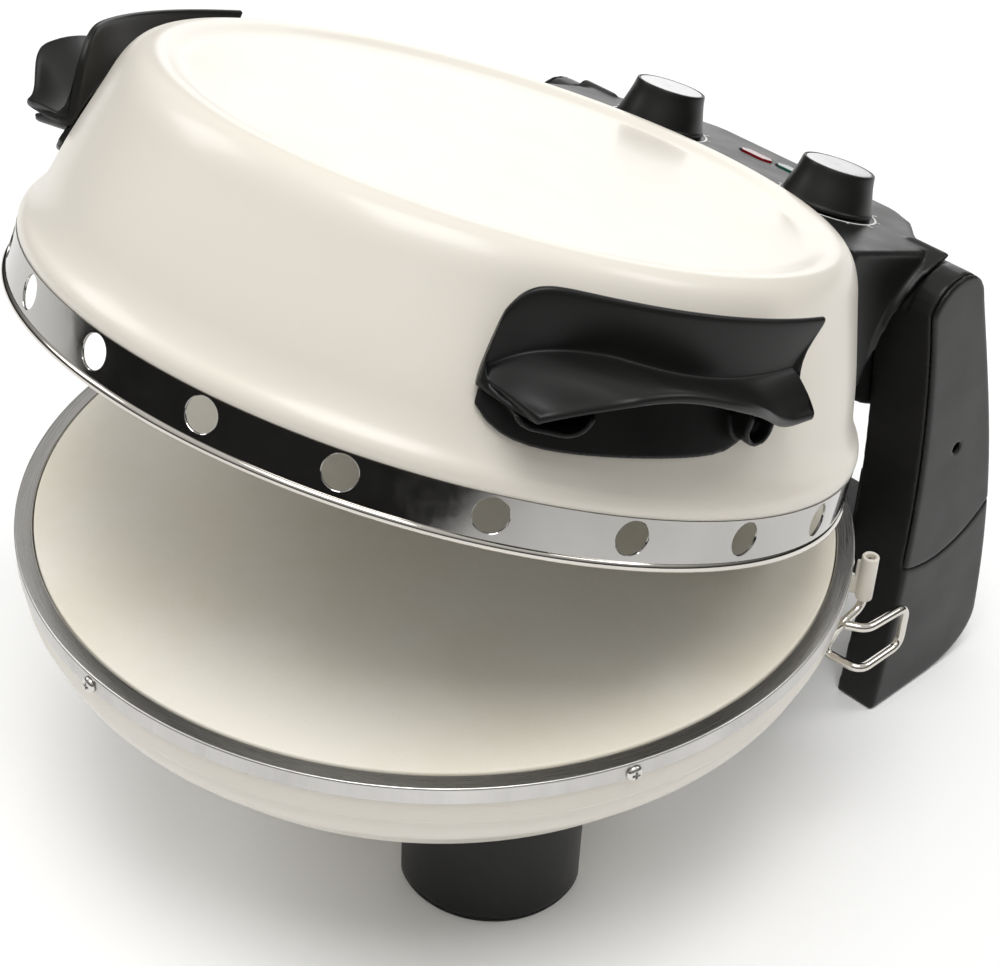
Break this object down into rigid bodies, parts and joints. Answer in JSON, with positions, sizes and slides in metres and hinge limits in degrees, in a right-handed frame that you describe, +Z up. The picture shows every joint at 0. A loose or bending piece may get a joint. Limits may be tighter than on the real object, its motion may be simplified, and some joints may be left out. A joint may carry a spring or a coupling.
{
  "type": "stone oven",
  "caption": "Round countertop stone oven: cream pan with trim ring and stone, domed lid on twin black uprights, side grips and a rear panel with knobs.",
  "frame": {"origin": "on the table plane, on the vertical axis through the centre of the stone", "axes": "+X to the right-hand grip, -Y to the front, +Y to the hinge, +Z up"},
  "size_m": [0.3244, 0.3946, 0.3197],
  "materials": {
    "cream_enamel": "gloss",
    "brushed_steel": "brushed",
    "screw_steel": "bright",
    "refractory": "matte",
    "plated_sheet": "satin",
    "element_steel": "dark oxide",
    "porcelain": "matte",
    "black_moulding": "satin",
    "pad_rubber": "matte",
    "painted_carrier": "satin",
    "bright_wire": "bright",
    "polished_steel": "mirror",
    "bush_brass": "turned",
    "white_print": "print",
    "red_lens": "clear tint",
    "green_lens": "clear tint",
    "device_body": "satin",
    "brushed_disc": "brushed"
  },
  "bodies": {
    "base": {"base_pan": "cream_enamel", "trim_ring": "brushed_steel", "ring_screws": "screw_steel", "stone": "refractory", "reflector": "plated_sheet", "lower_element": "element_steel", "element_bushes": "porcelain", "lower_clips": "plated_sheet", "front_foot_right": "black_moulding", "front_foot_left": "black_moulding", "foot_pads": "pad_rubber", "foot_screws": "screw_steel", "carrier": "painted_carrier", "post_right": "black_moulding", "post_left": "black_moulding", "cover_right": "black_moulding", "cover_left": "black_moulding", "cover_screws": "screw_steel", "carrier_screws": "screw_steel", "hinge_pins": "screw_steel", "hinge_clips": "element_steel", "bail_bracket_right": "cream_enamel", "bail_bracket_left": "cream_enamel", "bracket_screws": "screw_steel"},
    "bail_r": {"bail_right": "bright_wire"},
    "bail_l": {"bail_left": "bright_wire"},
    "knob_t": {"knob_time": "black_moulding", "knob_time_disc": "brushed_disc", "time_shaft": "screw_steel"},
    "knob_h": {"knob_heat": "black_moulding", "knob_heat_disc": "brushed_disc", "heat_shaft": "screw_steel"},
    "lid": {"lid_shell": "cream_enamel", "vent_band": "polished_steel", "lid_lip": "bright_wire", "lid_liner": "plated_sheet", "upper_element": "element_steel", "upper_bushes": "porcelain", "upper_clips": "plated_sheet", "liner_screws": "screw_steel", "grip_right": "black_moulding", "grip_left": "black_moulding", "grip_bracket_right": "black_moulding", "grip_bracket_left": "black_moulding", "grip_screws": "screw_steel", "panel": "black_moulding", "panel_floor": "black_moulding", "floor_screws": "screw_steel", "hinge_bushes": "bush_brass", "dial_marks": "white_print", "power_lens": "red_lens", "ready_lens": "green_lens", "lamp_holders": "porcelain", "timer": "device_body", "thermostat": "device_body", "terminal_block": "porcelain", "cable_gland": "pad_rubber"}
  },
  "joints": [
    {"name": "lid_hinge", "type": "hinge", "parent": "base", "child": "lid", "pos_m": [0, 0.178, 0.181], "axis": [-1, 0, 0], "range_deg": [-19.8, 55]},
    {"name": "time_knob_turn", "type": "hinge", "parent": "lid", "child": "knob_t", "pos_m": [-0.0452, 0.16268, 0.2217], "axis": [0, -0.3387, -0.9409], "range_deg": [0, 300]},
    {"name": "heat_knob_turn", "type": "hinge", "parent": "lid", "child": "knob_h", "pos_m": [0.0452, 0.16268, 0.2217], "axis": [0, -0.3387, -0.9409], "range_deg": [0, 300]},
    {"name": "bail_right_swing", "type": "hinge", "parent": "base", "child": "bail_r", "pos_m": [0.138, 0.096, 0.12], "axis": [0, 0, 1], "range_deg": [-5, 60]},
    {"name": "bail_left_swing", "type": "hinge", "parent": "base", "child": "bail_l", "pos_m": [-0.138, 0.096, 0.12], "axis": [0, 0, -1], "range_deg": [-5, 60]}
  ]
}
